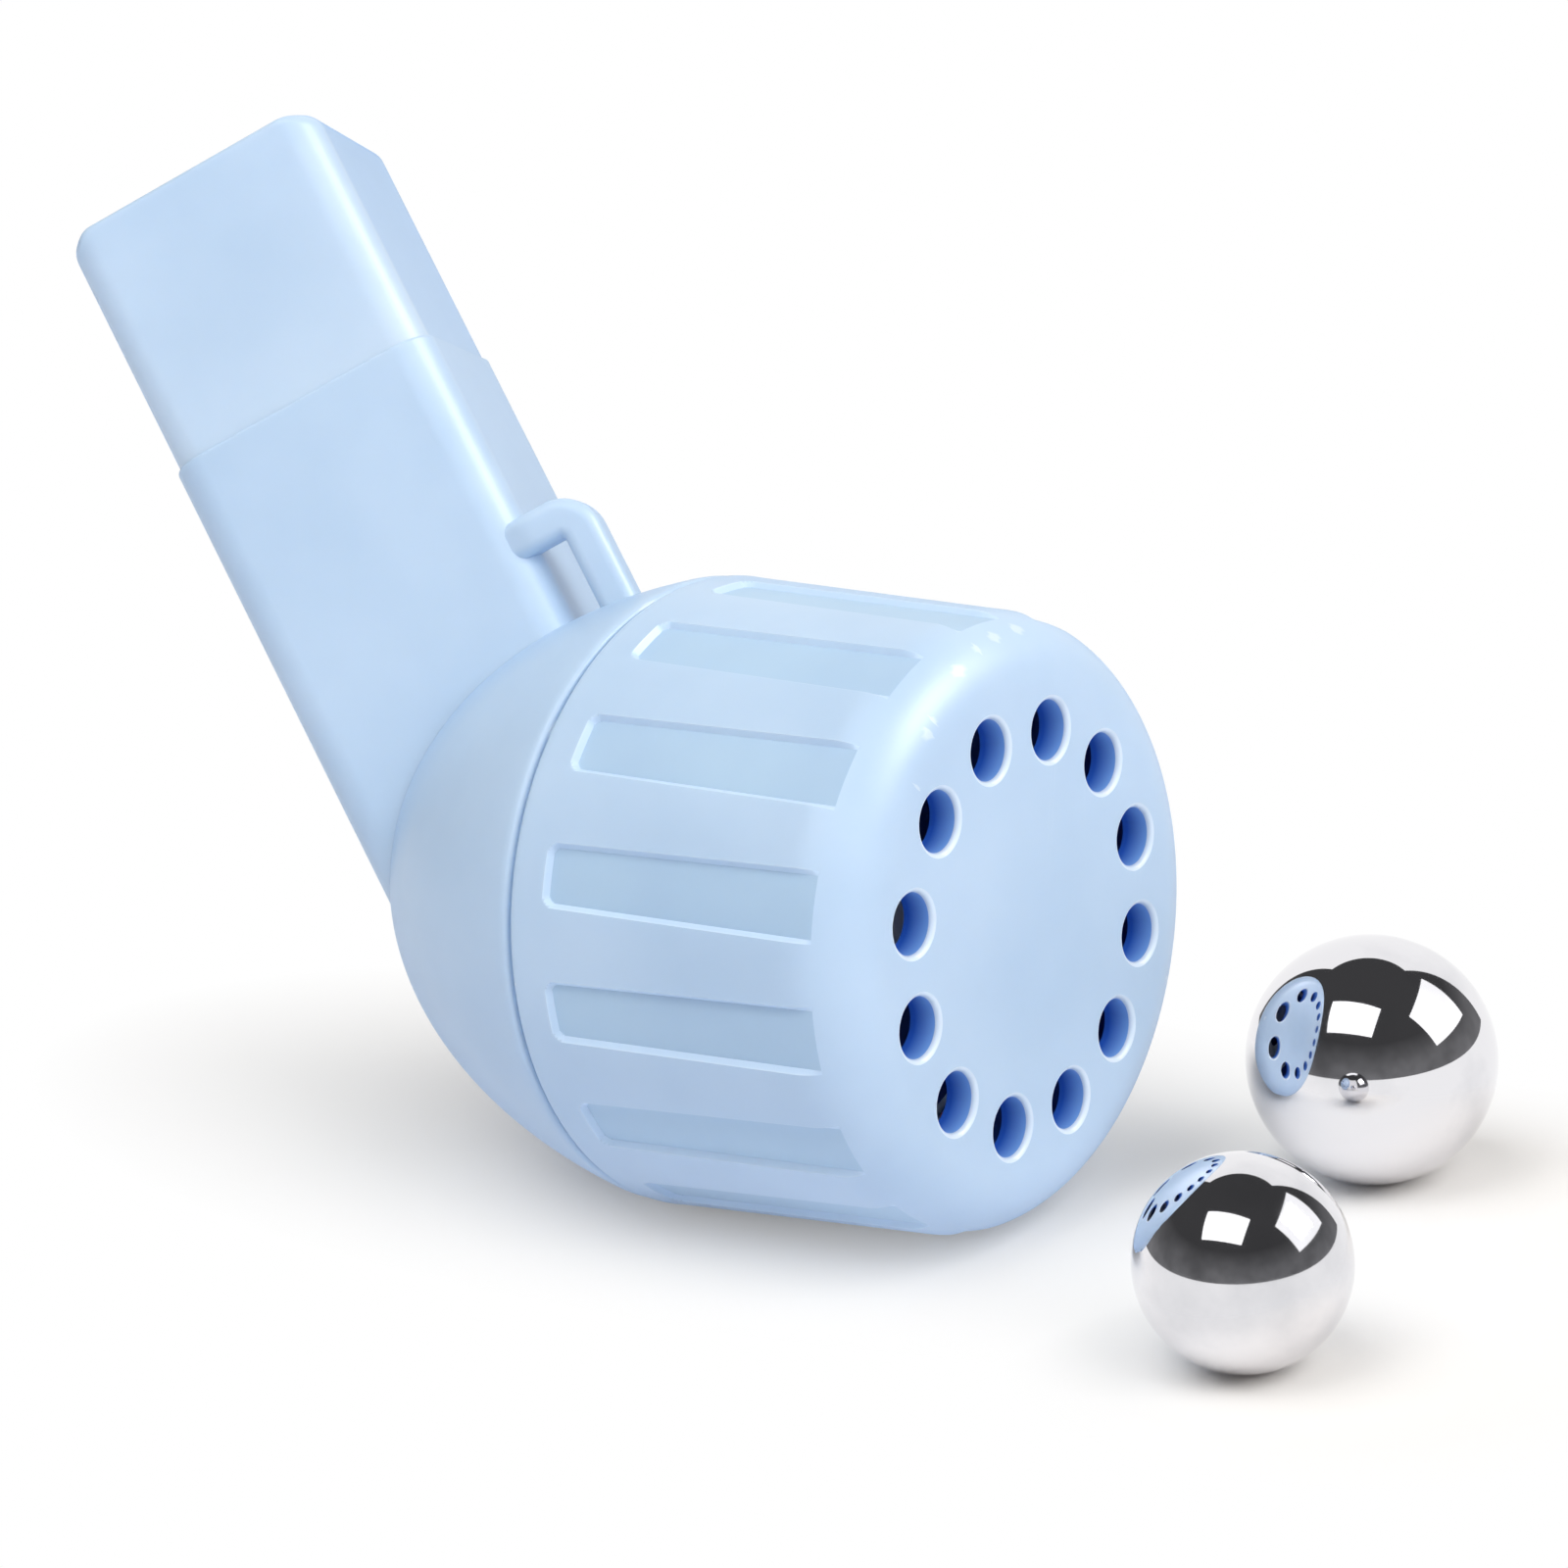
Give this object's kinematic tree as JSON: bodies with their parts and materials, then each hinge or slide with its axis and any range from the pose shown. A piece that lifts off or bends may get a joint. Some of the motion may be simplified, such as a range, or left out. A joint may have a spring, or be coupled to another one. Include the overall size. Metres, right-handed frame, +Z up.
{
  "type": "oscillating breathing trainer",
  "caption": "Pipe-shaped breathing trainer: a vented grip cap screwed on a round bowl, a rectangular stem with a plug-in mouthpiece, a lanyard loop and loose steel balls.",
  "frame": {"origin": "middle of the underside of the whole layout's box, on the surface that the bowl and the balls stand on", "axes": "+X along the head's axis, out of the cap's vented front; +Z up; +Y to the side where the larger ball stands"},
  "size_m": [0.1204, 0.0564, 0.0863],
  "materials": {
    "blue_plastic": "satin moulded plastic, light blue",
    "pale_plastic": "smooth moulded plastic, off-white",
    "seal_rubber": "matte translucent silicone",
    "polished_steel": "mirror polished"
  },
  "bodies": {
    "housing": {"bowl": "blue_plastic", "stem": "blue_plastic"},
    "seal": {"cap_seal": "seal_rubber"},
    "screw_cap": {"cap": "blue_plastic"},
    "mouthpiece": {"mouthpiece": "blue_plastic"},
    "funnel": {"ball_cone": "pale_plastic"},
    "heavy_ball": {"large_ball": "polished_steel"},
    "light_ball": {"small_ball": "polished_steel"}
  },
  "joints": [
    {"name": "cap_draw", "type": "slide", "parent": "housing", "child": "seal", "axis": [1, 0, 0], "range_m": [0, 0.006]},
    {"name": "cap_turn", "type": "hinge", "parent": "seal", "child": "screw_cap", "pos_m": [0.02809, -0.00356, 0.0246], "axis": [1, 0, 0], "range_deg": [0, 540]},
    {"name": "mouthpiece_pull", "type": "slide", "parent": "housing", "child": "mouthpiece", "axis": [-0.4741, 0, 0.8805], "range_m": [0, 0.014]},
    {"name": "funnel_lift", "type": "slide", "parent": "housing", "child": "funnel", "axis": [1, 0, 0], "range_m": [0, 0.015]},
    {"name": "large_ball_lift", "type": "slide", "parent": "housing", "child": "heavy_ball", "axis": [0, 0, 1], "range_m": [0, 0.05]},
    {"name": "small_ball_lift", "type": "slide", "parent": "housing", "child": "light_ball", "axis": [0, 0, 1], "range_m": [0, 0.05]}
  ],
  "couplings": [
    {"joint": "cap_draw", "follows": "cap_turn", "m_per_rad": 0.000636}
  ]
}
